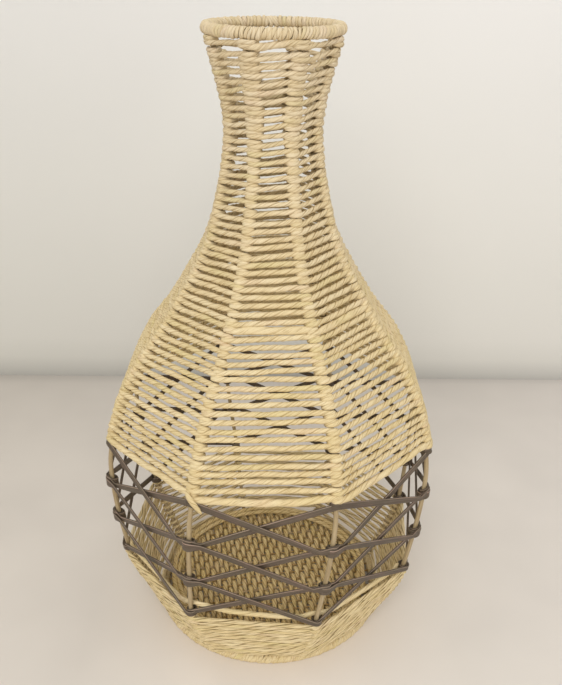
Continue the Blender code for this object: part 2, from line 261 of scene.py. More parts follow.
# Towards the wall: the floor darkens as painted shade, darkest at the foot of the wall
FLOOR_DEPTH_PAINTED_SHADE = (
    (0.0, WHITE),
    (0.28, (0.955, 0.955, 0.955)),
    (0.69, (0.89, 0.89, 0.89)),
    (0.965, (0.83, 0.83, 0.83)),
    (1.0, (0.74, 0.74, 0.74)),
)
# Across the wall: painted shade to the left
WALL_SIDE_PAINTED_SHADE = (
    (0.0, (0.90, 0.90, 0.89)),
    (0.35, (0.94, 0.94, 0.94)),
    (0.50, (0.975, 0.985, 0.99)),
    (0.65, (0.99, 0.99, 0.99)),
    (1.0, (1.02, 1.02, 1.03)),
)
# Up the wall: painted shade along its foot, and painted light, slightly bluer, towards the top
WALL_HEIGHT_PAINTED_LIGHT = (
    (0.0, (0.58, 0.575, 0.56)),
    (0.02, (0.66, 0.655, 0.64)),
    (0.06, (0.80, 0.795, 0.775)),
    (0.12, (0.86, 0.855, 0.84)),
    (0.30, (0.885, 0.885, 0.875)),
    (0.60, (0.94, 0.945, 0.95)),
    (1.0, (1.0, 1.01, 1.045)),
)
FLOOR_PAINTED_FADES = (
    ("X", -0.45, 0.45, FLOOR_SIDE_PAINTED_LIGHT),
    ("Y", -0.12, WALL_DISTANCE, FLOOR_DEPTH_PAINTED_SHADE),
)
WALL_PAINTED_FADES = (
    ("X", -0.5, 0.5, WALL_SIDE_PAINTED_SHADE),
    ("Z", 0.0, 0.5, WALL_HEIGHT_PAINTED_LIGHT),
)

# Camera, from the photograph's perspective
CAMERA_DISTANCE = 0.5936
CAMERA_HEIGHT = 0.5496
CAMERA_PITCH = 0.4591
CAMERA_YAW = 0.0133
CAMERA_ROLL = 0.0131
CAMERA_TURN = math.radians(-0.54)
FOCAL_PIXELS = 798.86
IMAGE_HEIGHT = 685
SENSOR = 36.0


def unit(vector):
    return vector / np.linalg.norm(vector)


def ring_of(node):
    """Radius and height of a ring wire's centre line."""
    low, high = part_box(node)
    return high.x - RING_WIRE_RADIUS, (low.z + high.z) / 2


def binding_radius(binding, ring):
    """Outer radius of a binding's faceted section, from its reach past the ring wire."""
    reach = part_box(binding)[1].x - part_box(ring)[1].x + RING_WIRE_RADIUS
    return reach / math.cos(math.pi / BINDING_SIDES)


BASE_RADIUS, BASE_HEIGHT = ring_of("base_ring")
RIM_RADIUS, RIM_HEIGHT = ring_of("rim_ring")
RIM_BINDING_RADIUS = binding_radius("rim_binding", "rim_ring")
BASE_BINDING_RADIUS = binding_radius("base_binding", "base_ring")


def wall_profile():
    """Height and radius of a bent wire at the ends of its stretches."""
    profile = [(BASE_HEIGHT, BASE_RADIUS)]
    for rise, radius in WALL_STRETCHES:
        profile.append((profile[-1][0] + rise, radius))
    throat = profile[-1][0]
    profile.append((throat + (RIM_HEIGHT - throat) * NECK_WAIST_SHARE, NECK_RADIUS))
    profile.append((RIM_HEIGHT, RIM_RADIUS))
    return profile


PROFILE = wall_profile()
BOWL_RIM_HEIGHT = PROFILE[1][0]
BELLY_RADIUS = PROFILE[2][1]
WEAVE_FOOT_HEIGHT = PROFILE[3][0] - WEAVE_FOOT_DROP


def chord_slopes():
    """Slope of the profile at each station, flat where it turns back."""
    chords = [
        (upper[1] - lower[1]) / (upper[0] - lower[0]) for lower, upper in zip(PROFILE, PROFILE[1:])
    ]
    slopes = [chords[0]]
    for below, above in zip(chords, chords[1:]):
        slopes.append(2 * below * above / (below + above) if below * above > 0 else 0.0)
    slopes.append(chords[-1])
    return slopes


SLOPES = chord_slopes()


def wall_radius(height):
    height = min(max(height, PROFILE[0][0]), PROFILE[-1][0])
    index = max(i for i in range(len(PROFILE) - 1) if PROFILE[i][0] <= height)
    (low, start), (high, end) = PROFILE[index : index + 2]
    run = high - low
    t = (height - low) / run
    return (
        start * (1 + 2 * t) * (1 - t) ** 2
        + run * SLOPES[index] * t * (1 - t) ** 2
        + end * t * t * (3 - 2 * t)
        + run * SLOPES[index + 1] * t * t * (t - 1)
    )


def wall_slope(height):
    low = max(height - PROFILE_STEP, PROFILE[0][0])
    high = min(height + PROFILE_STEP, PROFILE[-1][0])
    return (wall_radius(high) - wall_radius(low)) / (high - low)


def rib_angle(rib, height):
    """Angle of a bent wire from the front, towards +X. The wires lean round in the lower half."""
    up = max(height - BOWL_RIM_HEIGHT, 0.0) / (RIM_HEIGHT - BOWL_RIM_HEIGHT)
    return (rib + 0.5) * RIB_PITCH - RIB_TWIST * (1 - up) ** 3


def rib_frame(rib, height):
    """Centre of a bent wire, and unit vectors out of the wall, to the right and up along it."""
    angle = rib_angle(rib % RIB_COUNT, height)
    radial = np.array((math.sin(angle), -math.cos(angle), 0.0))
    right = np.array((math.cos(angle), math.sin(angle), 0.0))
    slope = wall_slope(height)
    normal = unit(radial - slope * UP)
    along = unit(slope * radial + UP)
    return wall_radius(height) * radial + height * UP, normal, right, along


def courses_down(top, bottom, pitch):
    """Heights of level courses, spaced evenly down the slope of the wall from top to bottom."""
    lengths = [0.0]
    levels = [top]
    while levels[-1] > bottom:
        level = max(levels[-1] - PROFILE_STEP, bottom)
        widening = wall_radius(level) - wall_radius(levels[-1])
        lengths.append(lengths[-1] + math.hypot(levels[-1] - level, widening))
        levels.append(level)
    spaces = round(lengths[-1] / pitch)
    reaches = [lengths[-1] * space / spaces for space in range(spaces + 1)]
    return [float(height) for height in np.interp(reaches, lengths, levels)]


def wander(rng, wave):
    """A smooth random curve of about unit size, as a function of length along a rope."""
    starts = rng.uniform(0, FULL_TURN, 3)
    waves = wave * np.array((1.0, 0.61, 0.37))
    weights = (0.6, 0.4, 0.25)

    def curve(reach):
        reach = np.asarray(reach, float)
        return sum(
            weight * np.sin(FULL_TURN * reach / length + start)
            for weight, length, start in zip(weights, waves, starts)
        )

    return curve


class Line:
    """Centre line of a strand: points, outward directions, and the shape of its section there.

    A shape is half thickness, half width, turns of twist in a metre, and how smooth it is, up to 1.
    """

    def __init__(self):
        self.points = []
        self.normals = []
        self.shapes = []

    def add(self, point, normal, thick, wide, rate=0.0, soft=0.0):
        self.points.append(np.asarray(point, float))
        self.normals.append(np.asarray(normal, float))
        self.shapes.append((thick, wide, rate, soft))

    def arrays(self):
        return np.array(self.points), np.array(self.normals), np.array(self.shapes)


def reaches_along(points):
    steps = np.linalg.norm(np.diff(points, axis=0), axis=1)
    return np.concatenate(([0.0], np.cumsum(steps)))


def creased_section(corners, grooves):
    """Unit section of twisted paper: round, with a shallow groove at some of its corners."""
    reaches = np.ones(corners)
    for corner, depth in grooves:
        reaches[corner] -= depth
    angles = FULL_TURN * np.arange(corners) / corners
    return np.stack((reaches * np.cos(angles), reaches * np.sin(angles)), axis=1)


def grooved_strip_section(corners, power, depth, spread):
    """Unit section of a flat strip, with a groove along the middle of each face."""
    angles = FULL_TURN * np.arange(corners) / corners
    out = np.copysign(np.abs(np.cos(angles)) ** power, np.cos(angles))
    side = np.copysign(np.abs(np.sin(angles)) ** power, np.sin(angles))
    out *= 1 - depth * np.exp(-((side / spread) ** 2))
    return np.stack((out, side), axis=1)


ROPE_SECTION = creased_section(14, ((0, 0.27), (3, 0.12), (7, 0.31), (10, 0.18)))
SMOOTH_SECTION = creased_section(14, ((0, 0.15), (5, 0.08), (9, 0.13)))
ROUND_SECTION = creased_section(12, ())
STRIP_SECTION = grooved_strip_section(16, 0.55, 0.4, 0.3)


def strand_faces(reach, corners, girth):
    """Four-sided faces between the rings of a strand, and how far along and round they lie."""
    here = np.arange(len(reach) - 1)[:, None] * corners + np.arange(corners)
    ahead = np.roll(here, -1, axis=1)
    quads = np.stack((here, ahead, ahead + corners, here + corners), axis=-1).reshape(-1, 4)
    low = np.broadcast_to(np.arange(corners) / corners * girth, here.shape)
    high = low + girth / corners
    near = np.broadcast_to(reach[:-1, None], here.shape)
    far = np.broadcast_to(reach[1:, None], here.shape)
    uvs = np.stack((near, low, near, high, far, high, far, low), axis=-1).reshape(-1, 4, 2)
    return quads, uvs


def sweep(line, section, smooth_section=None, start=0.0):
    """A strand: its section, turning as it goes, carried along the centre line.

    It comes as points, faces, their places on the strand, groove depth for painted shade, and
    corners in a ring.
    """
    points, normals, shapes = line.arrays()
    thick, wide, rate, soft = shapes.T
    reach = reaches_along(points)
    tangents = np.gradient(points, axis=0)
    tangents /= np.linalg.norm(tangents, axis=1)[:, None]
    across = np.cross(tangents, normals)
    across /= np.linalg.norm(across, axis=1)[:, None]
    outward = np.cross(across, tangents)
    twist = np.concatenate(([0.0], np.cumsum(np.diff(reach) * (rate[1:] + rate[:-1]) / 2)))
    turn = (start - FULL_TURN * twist)[:, None]
    smooth = section if smooth_section is None else smooth_section
    unit_out = section[:, 0] + (smooth[:, 0] - section[:, 0]) * soft[:, None]
    unit_side = section[:, 1] + (smooth[:, 1] - section[:, 1]) * soft[:, None]
    # Depth of the groove at each corner, which the rope materials darken as painted shade
    depths = np.clip(1 - np.hypot(unit_out, unit_side), 0, 1)
    out = (unit_out * np.cos(turn) - unit_side * np.sin(turn)) * thick[:, None]
    side = (unit_out * np.sin(turn) + unit_side * np.cos(turn)) * wide[:, None]
    rings = points[:, None] + out[..., None] * outward[:, None] + side[..., None] * across[:, None]
    corners = len(section)
    girth = FULL_TURN * float((thick + wide).mean() / 2)
    quads, uvs = strand_faces(reach, corners, girth)
    return rings.reshape(-1, 3), quads, uvs, depths.ravel(), corners


def tapered(line, length=ROPE_END):
    """Rounds both ends of a strand off over a length."""
    reach = reaches_along(np.array(line.points))
    for index, here in enumerate(reach):
        end = min(here, reach[-1] - here) / length
        if end < 1:
            scale = max(math.sqrt(1 - (1 - end) ** 2), LEAST_TAPER)
            thick, wide, rate, soft = line.shapes[index]
            line.shapes[index] = (thick * scale, wide * scale, rate, soft)
    return line


def add_piece(name, parts, material, slot, *nodes):
    """One piece of the object, made of swept strands, which stands for solids of the frame."""
    vertices = []
    faces = []
    uvs = []
    shaded_creases = []
    base = 0
    for rings, quads, uv, depths, corners in parts:
        vertices.append(rings)
        faces.extend((quads + base).tolist())
        uvs.append(uv.reshape(-1, 2))
        shaded_creases.append(depths)
        last = base + len(rings)
        faces.append(list(range(base + corners - 1, base - 1, -1)))
        faces.append(list(range(last - corners, last)))
        uvs.append(np.zeros((2 * corners, 2)))
        base = last
    mesh = bpy.data.meshes.new(name)
    mesh.from_pydata(np.concatenate(vertices).tolist(), [], faces)
    layer = mesh.uv_layers.new(name="strand")
    layer.data.foreach_set("uv", np.concatenate(uvs).astype(np.float32).ravel())
    # Groove depth at each corner, stored for the painted shade in the grooves
    groove_shade = mesh.attributes.new("groove_shade", "FLOAT", "POINT")
    groove_shade.data.foreach_set("value", np.concatenate(shaded_creases).astype(np.float32))
    mesh.shade_smooth()
    mesh.materials.append(material)
    piece = bpy.data.objects.new(name, mesh)
    bpy.context.scene.collection.objects.link(piece)
    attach(piece, "root")
    if nodes:
        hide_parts(*nodes)


def smoothed(points, reach):
    """Points with their corners rounded by an average over a few neighbours."""
    kernel = np.hanning(2 * reach + 3)[1:-1]
    kernel /= kernel.sum()
    padded = np.concatenate((points[:1].repeat(reach, 0), points, points[-1:].repeat(reach, 0)))
    return np.stack([np.convolve(padded[:, k], kernel, "valid") for k in range(3)], axis=1)


def add_run(line, point, normal, shape, rng, sag, bow):
    """Taut stretch from the line's last point to just before another, slightly uneven.

    It hangs by sag and bows out by bow at its middle.
    """
    start = line.points[-1]
    start_normal = line.normals[-1]
    start_shape = np.array(line.shapes[-1])
    length = float(np.linalg.norm(point - start))
    steps = max(round(length / ROPE_STEP), 4)
    shares = np.arange(1, steps) / steps
    ease = np.clip(np.minimum(shares, 1 - shares) * length / RUN_EASE, 0, 1)
    ease = ease * ease * (3 - 2 * ease)
    rise = wander(rng, RISE_WAVE)(shares * length) * RUN_RISE
    bulge = wander(rng, BULGE_WAVE)(shares * length) * RUN_BULGE
    swell = 1 + wander(rng, SWELL_WAVE)(shares * length) * RUN_SWELL
    hurry = 1 + wander(rng, RATE_WAVE)(shares * length) * RUN_RATE_STRAY
    usual, stray = RUN_SLACKNESS
    slack = np.clip(usual + wander(rng, SLACK_WAVE)(shares * length) * stray, 0.0, MOST_SLACK)
    level_out = unit((start_normal + normal) * (1, 1, 0))
    for index, share in enumerate(shares):
        soft = ease[index]
        facing = unit(start_normal * (1 - share) + normal * share)
        arch = 4 * share * (1 - share)
        thick, wide, rate, smooth = start_shape * (1 - soft) + np.array(shape) * soft
        place = start + (point - start) * share
        place = place + UP * (rise[index] * soft - sag * arch) + facing * bulge[index] * soft
        place = place + level_out * bow * arch
        size = swell[index]
        smooth = max(smooth, slack[index])
        line.add(place, facing, thick * size, wide * size, rate * hurry[index], smooth)


def loop_point(frame_at, turn, reach, rise, spread=1.0):
    """Point and outward direction on the way round a wire, turned from its front to the right."""
    centre, normal, right, along = frame_at
    out = math.cos(turn) * normal + math.sin(turn) * right
    aside = math.cos(turn) * normal + math.sin(turn) * spread * right
    return centre + aside * reach + along * rise, out


def loop_reach(share, size):
    """Distance from the wire's axis: the rope lies on top of itself where it crosses again."""
    turn = -RIB_PITCH / 2 + (FULL_TURN + RIB_PITCH) * share
    lift = LOOP_FRONT_LIFT * max(math.cos(turn), 0.0)
    return RIB_RADIUS + (LOOP_HALF_THICK + lift * (LIFT_AT_START + LIFT_GAIN * share)) * size


def eased(height, stretch):
    """Share that grows smoothly from nought to one over a stretch of heights."""
    low, high = stretch
    share = min(max((height - low) / (high - low), 0.0), 1.0)
    return share * share * (3 - 2 * share)


def add_loop(line, frame_at, size):
    """One whole turn of rope round a wire, from the facet at its left to the one at its right."""
    slack = eased(frame_at[0][2], SPREAD_HEIGHTS)
    drop = LOOP_DROP * size * (1 + NECK_LOOP_DROP * slack)
    spread = 1 + NECK_LOOP_SPREAD * slack
    shape = (LOOP_HALF_THICK * size, LOOP_HALF_WIDE * size, ROPE_RATE, LOOP_SOFTNESS)
    for share in np.linspace(0, 1, LOOP_STEPS):
        turn = -RIB_PITCH / 2 + (FULL_TURN + RIB_PITCH) * share
        rise = drop * (0.5 - share)
        line.add(*loop_point(frame_at, turn, loop_reach(share, size), rise, spread), *shape)


def course_line(heights, first, last, rng, special, rope, loop_size, bow_at):
    """Rope of level courses from one place to another, with a loop round each wire."""
    line = Line()
    for place in range(first, last + 1):
        course = min(place // RIB_COUNT, len(heights) - 1)
        height = heights[course] + rng.normal() * LOOP_SHIFT
        frame_at = rib_frame(START_RIB + place, height)
        if line.points:
            slim = 1 - NECK_SLIMNESS * eased(height, SLIM_HEIGHTS)
            plain = ((rope[0] * slim, rope[1] * slim, *rope[2:]), RUN_SAG)
            shape, sag = special.get(place - 1, plain)
            slack = eased(height, SPREAD_HEIGHTS)
            entry, entry_normal = loop_point(
                frame_at,
                -RIB_PITCH / 2,
                loop_reach(0.0, loop_size),
                LOOP_DROP * loop_size * (1 + NECK_LOOP_DROP * slack) / 2,
                1 + NECK_LOOP_SPREAD * slack,
            )
            add_run(line, entry, entry_normal, shape, rng, sag, bow_at(height))
        add_loop(line, frame_at, loop_size * rng.uniform(*LOOP_SIZES))
    return line


def upper_places(heights):
    """Runs of the upper weave that differ from the rest, by place: shape of the rope, and sag."""
    special = {}
    front = FRONT - START_RIB
    special[front] = (FRONT_TOP_ROPE, RUN_SAG)
    foot_course = (len(heights) - 1) * RIB_COUNT
    for place in range(foot_course, foot_course + RIB_COUNT - 1):
        special[place] = (FOOT_ROPE, FOOT_SAG)
    special[foot_course + front] = (FRONT_FOOT_ROPE, FRONT_FOOT_SAG)
    nearest = min(range(len(heights)), key=lambda index: abs(heights[index] - SPLICE_HEIGHT))
    splice = nearest * RIB_COUNT + front
    special[splice] = (SPLICE_ROPE, SPLICE_SAG)
    special[splice + 1] = (SPLICE_END_ROPE, RUN_SAG)
    return special


def add_upper_weave(material):
    """Ropes of the neck, the shoulder and the body, one after the other down the wall."""
    top = RIM_HEIGHT - RIM_BINDING_RADIUS - TOP_COURSE_CLEARANCE - ROPE_RADIUS
    heights = courses_down(top, WEAVE_FOOT_HEIGHT, ROPE_PITCH)
    heights[0] += TOP_COURSE_CLEARANCE
    special = upper_places(heights)
    ends = [0]
    for target in (THROAT_COURSE_HEIGHT, HOLLOW_COURSE_HEIGHT):
        course = next(index for index, height in enumerate(heights) if height < target)
        ends.append(course * RIB_COUNT)
    ends.append(len(heights) * RIB_COUNT - 1)
    rng = np.random.default_rng(UPPER_SEED)
    for index, part in enumerate(("neck", "shoulder", "body")):
        first, last = ends[index : index + 2]
        line = course_line(heights, first, last, rng, special, PLAIN_ROPE, 1.0, lambda height: 0.0)
        start = rng.uniform(0, FULL_TURN)
        sheath = sweep(tapered(line), ROPE_SECTION, SMOOTH_SECTION, start)
        add_piece(part + "_rope", [sheath], material, "rope", part + "_weave")


def strip_half_height():
    """Half of what a slanting strip takes up of the wall's height."""
    run = 2 * BELLY_RADIUS * math.sin(RIB_PITCH / 2)
    drop = (WEAVE_FOOT_HEIGHT - BOWL_RIM_HEIGHT) / STRIP_ROWS
    return STRIP_WIDTH / 2 * math.hypot(run, drop) / run


def add_bowl(material):
    """Rope of the bowl: straight between wires at the top, rounding towards the base ring."""
    top = BOWL_RIM_HEIGHT - strip_half_height() - SEAT_GAP * 2 - ROPE_RADIUS
    bottom = BASE_HEIGHT + BASE_BINDING_RADIUS + SEAT_GAP * 2 + ROPE_RADIUS
    heights = courses_down(top, bottom, BOWL_PITCH)
    round_from = BASE_HEIGHT + (BOWL_RIM_HEIGHT - BASE_HEIGHT) * BOWL_ROUND_SHARE

    def bow_at(height):
        roundness = min(max((round_from - height) / (round_from - BASE_HEIGHT), 0.0), 1.0)
        tucked = min(max(1 - (height - bottom) / BOWL_TUCK_RISE, 0.0), 1.0)
        arch = wall_radius(height) * (1 - math.cos(RIB_PITCH / 2))
        return arch * roundness - BOWL_FOOT_TUCK * tucked * tucked

    rng = np.random.default_rng(BOWL_SEED)
    last = len(heights) * RIB_COUNT - 1
    line = course_line(heights, 0, last, rng, {}, BOWL_ROPE, BOWL_LOOP_SIZE, bow_at)
    sheath = sweep(tapered(line), ROPE_SECTION, SMOOTH_SECTION)
    add_piece("bowl_rope", [sheath], material, "rope", "bowl_weave")


def add_wrap(name, node, ring, wraps, slant, seed, material):
    """Rope wound round a ring wire in close turns of uneven width, flattened where it stands.

    A ring is the radius and height of its wire, and the outer radius of its binding.
    """
    ring_radius, ring_height, outer = ring
    rng = np.random.default_rng(seed)
    thick = (outer - RING_WIRE_RADIUS - SEAT_GAP) / 2
    widths = rng.uniform(*WRAP_WIDTHS, wraps)
    widths *= FULL_TURN / widths.sum()
    edges = np.concatenate(([0.0], np.cumsum(widths)))
    marks = np.concatenate(([0.0], np.arange(wraps) + 0.5, [wraps]))
    angles = np.concatenate(([0.0], (edges[1:] + edges[:-1]) / 2, [FULL_TURN]))
    lean = wander(rng, WRAP_LEAN_WAVE)
    girth = wander(rng, WRAP_SWELL_WAVE)
    line = Line()
    for turns in np.arange(wraps * WRAP_SAMPLES + 1) / WRAP_SAMPLES:
        around = FULL_TURN * turns
        width = float(np.interp(turns, marks[1:-1], widths))
        tilt = (slant + WRAP_LEAN * float(lean(turns))) * math.sin(around) * FULL_TURN / wraps
        angle = WRAP_SEAM + float(np.interp(turns, marks, angles)) + tilt
        radial = np.array((math.sin(angle), -math.cos(angle), 0.0))
        out = radial * math.cos(around) + UP * math.sin(around)
        size = 1 + WRAP_SWELL * float(girth(turns))
        reach = RING_WIRE_RADIUS + SEAT_GAP + thick * size
        centre = radial * ring_radius + UP * ring_height
        wide = width * ring_radius / 2
        line.add(centre + out * reach, out, thick * size, wide, ROPE_RATE, WRAP_SOFTNESS)
    rings, *rest = sweep(line, ROPE_SECTION, SMOOTH_SECTION)
    rings[:, 2] = np.maximum(rings[:, 2], FLOOR_GAP)
    add_piece(name, [(rings, *rest)], material, "rope", node)


def add_wires(material):
    """The eight bent wires, smooth round rods from ring to ring."""
    levels = np.linspace(BASE_HEIGHT, RIM_HEIGHT, RIB_STEPS)
    for rib in range(RIB_COUNT):
        line = Line()
        for height in levels:
            centre, normal, _, _ = rib_frame(rib, height)
            line.add(centre, normal, RIB_RADIUS, RIB_RADIUS)
        sheath = sweep(line, ROUND_SECTION)
        add_piece(f"bent_wire_{rib + 1}", [sheath], material, "wire", f"rib_{rib + 1}")


def lattice_levels():
    """Heights at which the strips meet the wires, from the weave down to the bowl."""
    top = WEAVE_FOOT_HEIGHT - ROPE_RADIUS - SEAT_GAP - strip_half_height()
    return [top + (BOWL_RIM_HEIGHT - top) * row / STRIP_ROWS for row in range(STRIP_ROWS + 1)]


def resampled(line, step):
    """The same line with evenly spaced points and rounded corners."""
    points, normals, shapes = line.arrays()
    reach = reaches_along(points)
    marks = np.linspace(0, reach[-1], max(int(reach[-1] / step), 8))
    columns = np.concatenate((points, normals, shapes), axis=1)
    dense = np.stack([np.interp(marks, reach, column) for column in columns.T], axis=1)
    smooth = np.concatenate((smoothed(dense[:, :3], 1), smoothed(dense[:, 3:6], 2)), axis=1)
    fresh = Line()
    for row, shape in zip(smooth, dense[:, 6:]):
        fresh.add(row[:3], unit(row[3:]), *shape)
    return fresh


def beside_knot(frame_at, turn, reach, distance):
    """Point on the facet beside a knot, at its own height, and the facet's outward direction."""
    place, out = loop_point(frame_at, turn, reach, 0.0)
    ahead = math.cos(turn) * frame_at[2] - math.sin(turn) * frame_at[1]
    return place + ahead * distance, out


def add_span(line, point, normal, shape):
    """Full width of a strip on the way from the line's last point to another."""
    start = line.points[-1]
    start_normal = line.normals[-1]
    for share in SPAN_SHARES:
        facing = unit(start_normal * (1 - share) + normal * share)
        line.add(start + (point - start) * share, facing, *shape)


def strip_line(rib, levels, reach, rng):
    """A strip over three facets, wound round each inner wire and hooked round the end ones."""
    line = Line()
    flat = (STRIP_THICKNESS / 2, STRIP_WIDTH / 2)
    waist = (STRIP_THICKNESS / 2, KNOT_WAIST)
    way = 1 if levels[0] > levels[-1] else -1
    edge = RIB_PITCH / 2
    last = len(levels) - 1
    for step, level in enumerate(levels):
        frame_at = rib_frame(rib + step, level + rng.normal() * KNOT_SHIFT)
        if step in (0, last):
            begin = -HOOK_TURN if step == 0 else -edge
            end = edge if step == 0 else HOOK_TURN
            if step:
                add_span(line, *loop_point(frame_at, begin, reach, 0.0), flat)
            for share in np.linspace(0, 1, HOOK_STEPS):
                past = share if step == last else share - 1
                turn = begin + (end - begin) * share
                line.add(*loop_point(frame_at, turn, reach, -way * HOOK_FALL * past), *flat)
            continue
        end = FULL_TURN * KNOT_TURNS + edge
        entry = beside_knot(frame_at, -edge, reach, -KNOT_REACH)
        add_span(line, *entry, flat)
        line.add(*entry, *waist)
        wide = KNOT_HALF_WIDE * rng.uniform(*KNOT_SIZES)
        for share in np.linspace(0, 1, KNOT_STEPS):
            turn = -edge + (end + edge) * share
            climb = way * KNOT_RISE * (1 - 2 * share) + rng.normal() * KNOT_STRAY
            climb += KNOT_TILT * (math.cos(turn) - 0.5)
            wound = reach - KNOT_SINK + KNOT_SWELL * share
            line.add(*loop_point(frame_at, turn, wound, climb), KNOT_HALF_THICK, wide)
        line.add(*beside_knot(frame_at, end, reach, KNOT_REACH), *waist)
    return resampled(line, STRIP_STEP)


def add_lattice(material):
    """The strips of the open band: the ones that fall to the right lie outside the others."""
    levels = lattice_levels()
    rng = np.random.default_rng(LATTICE_SEED)
    inner = RIB_RADIUS + SEAT_GAP + STRIP_THICKNESS / 2
    outer = inner + STRIP_THICKNESS + SEAT_GAP
    for rib in range(RIB_COUNT):
        for name, node, heights, reach in (
            ("falling", "outer", levels, outer),
            ("rising", "inner", levels[::-1], inner),
        ):
            sheath = sweep(strip_line(rib, heights, reach, rng), STRIP_SECTION)
            add_piece(
                f"{name}_strip_{rib + 1}", [sheath], material, "strip", f"{node}_strip_{rib + 1}"
            )


def mat_grid():
    """Turn of the mat, distance between its cross wires, and their height."""
    boxes = [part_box(f"cross_wire_{index}") for index in (1, 2)]
    middles = [(low + high) / 2 for low, high in boxes]
    step = middles[1] - middles[0]
    return math.atan2(-step.x, step.y), math.hypot(step.x, step.y), middles[0].z


def turned(point, angle):
    """A point turned about the vertical axis."""
    cosine = math.cos(angle)
    sine = math.sin(angle)
    x, y, z = point
    return np.array((x * cosine - y * sine, x * sine + y * cosine, z))


def mat_rows(angle, weft, level):
    """One rope laid to and fro, over and under the weft strands in turn."""
    rng = np.random.default_rng(MAT_SEED)
    rows = math.floor(2 * MAT_RADIUS / MAT_PITCH)
    lift = MAT_WEFT_RADIUS + MAT_HALF_THICK * MAT_LIFT_SHARE
    line = Line()
    for row in range(rows):
        x = (row - (rows - 1) / 2) * MAT_PITCH
        way = 1 if row % 2 else -1
        reach = math.sqrt(MAT_RADIUS**2 - x**2) - MAT_PITCH / 2
        if reach < MAT_PITCH:
            continue
        marks = np.linspace(-reach * way, reach * way, max(round(reach * 2 / MAT_STEP), 8))
        drift = wander(rng, MAT_DRIFT_WAVE)(marks) * MAT_DRIFT
        rate = MAT_RATE * rng.uniform(*MAT_RATES)
        for mark, stray in zip(marks, drift):
            wave = math.cos(math.pi * (mark / weft + row))
            wave *= min((reach - abs(mark)) / MAT_END_EASE, 1.0)
            wide = MAT_HALF_WIDE * (1 + MAT_WIDENING * wave)
            place = turned((x + stray, mark, level + lift * wave), angle)
            line.add(place, UP, MAT_HALF_THICK, wide, rate)
        if row < rows - 1:
            for quarter in (0.25, 0.5, 0.75):
                bend = math.pi * quarter
                bend_x = x + MAT_PITCH / 2 * (1 - math.cos(bend))
                bend_y = (reach + MAT_PITCH / 2 * math.sin(bend)) * way
                place = turned((bend_x, bend_y, level), angle)
                line.add(place, UP, MAT_HALF_THICK, MAT_HALF_THICK, rate)
    return line


def mat_wefts(angle, weft, level):
    """Thin strands across the rows, between the cross wires."""
    reach = BASE_RADIUS - RING_WIRE_RADIUS - SEAT_GAP - MAT_WEFT_RADIUS
    count = math.floor(reach / weft)
    strands = []
    for index in range(-count, count + 1):
        if index % MAT_WEFTS == MAT_WEFTS // 2:
            continue
        y = index * weft
        half = math.sqrt(reach**2 - y**2)
        line = Line()
        for x in np.linspace(-half, half, MAT_WEFT_POINTS):
            line.add(turned((x, y, level), angle), UP, MAT_WEFT_RADIUS, MAT_WEFT_RADIUS)
        strands.append(sweep(line, ROUND_SECTION))
    return strands


def mat_border(level):
    """Rope laid on the mat's edge in a spiral that climbs to the foot of the wall."""
    rng = np.random.default_rng(BORDER_SEED)
    line = Line()
    inner, outer = BORDER_RADII
    shares = np.linspace(0, 1, BORDER_TURNS * BORDER_STEPS)
    reach = shares * BORDER_TURNS * FULL_TURN * outer
    stray = wander(rng, BORDER_WAVE)(reach) * BORDER_STRAY
    swell = 1 + wander(rng, SWELL_WAVE)(reach) * RUN_SWELL
    lowest = level + MAT_WEFT_RADIUS + 2 * MAT_HALF_THICK + ROPE_HALF_THICK
    for share, shift, size in zip(shares, stray, swell):
        angle = FULL_TURN * BORDER_TURNS * share
        radius = inner + (outer - inner) * share + shift
        height = lowest + BORDER_RISE * share
        place = (radius * math.sin(angle), -radius * math.cos(angle), height)
        line.add(place, UP, ROPE_HALF_THICK * size, ROPE_HALF_WIDE * size, ROPE_RATE)
    return line


def add_mat(material, shaded_weft_material):
    """The mat's rows, the thin strands that they pass over and under, and its border."""
    angle, spacing, level = mat_grid()
    weft = spacing / MAT_WEFTS
    rows = sweep(tapered(mat_rows(angle, weft, level)), ROPE_SECTION)
    add_piece("mat_rope", [rows], material, "rope", "base_mat")
    # The thin strands wear painted shade, as the dark slots between the rows
    add_piece("mat_weft", mat_wefts(angle, weft, level), shaded_weft_material, "rope")
    border = sweep(tapered(mat_border(level)), ROPE_SECTION)
    add_piece("mat_border", [border], material, "rope")


def wall_place(position, height, offset):
    """Point on a facet: place counted in ribs, height, and distance outside the wires."""
    rib = math.floor(position)
    share = position - rib
    start, end = (rib_frame(rib + k, height) for k in (0, 1))
    point = (start[0] + start[1] * offset) * (1 - share) + (end[0] + end[1] * offset) * share
    return point, unit(start[1] * (1 - share) + end[1] * share)


def add_loose_rope(name, stops, material, rate, soft, taper):
    """A length of rope through places on the wall: position, height, offset and half sizes."""
    coarse = Line()
    for position, height, offset, thick, wide in stops:
        coarse.add(*wall_place(position, height, offset), thick, wide, rate, soft)
    points, normals, shapes = coarse.arrays()
    marks = np.linspace(0, len(stops) - 1, (len(stops) - 1) * LOOSE_STEPS + 1)
    columns = np.concatenate((points, normals, shapes), axis=1)
    dense = np.stack([np.interp(marks, range(len(stops)), column) for column in columns.T], axis=1)
    dense[:, :3] = smoothed(dense[:, :3], LOOSE_ROUNDING)
    dense[:, 3:6] = smoothed(dense[:, 3:6], LOOSE_ROUNDING)
    line = Line()
    for row in dense:
        line.add(row[:3], unit(row[3:6]), *row[6:])
    sheath = sweep(tapered(line, taper), ROPE_SECTION, SMOOTH_SECTION)
    add_piece(name, [sheath], material, "rope")


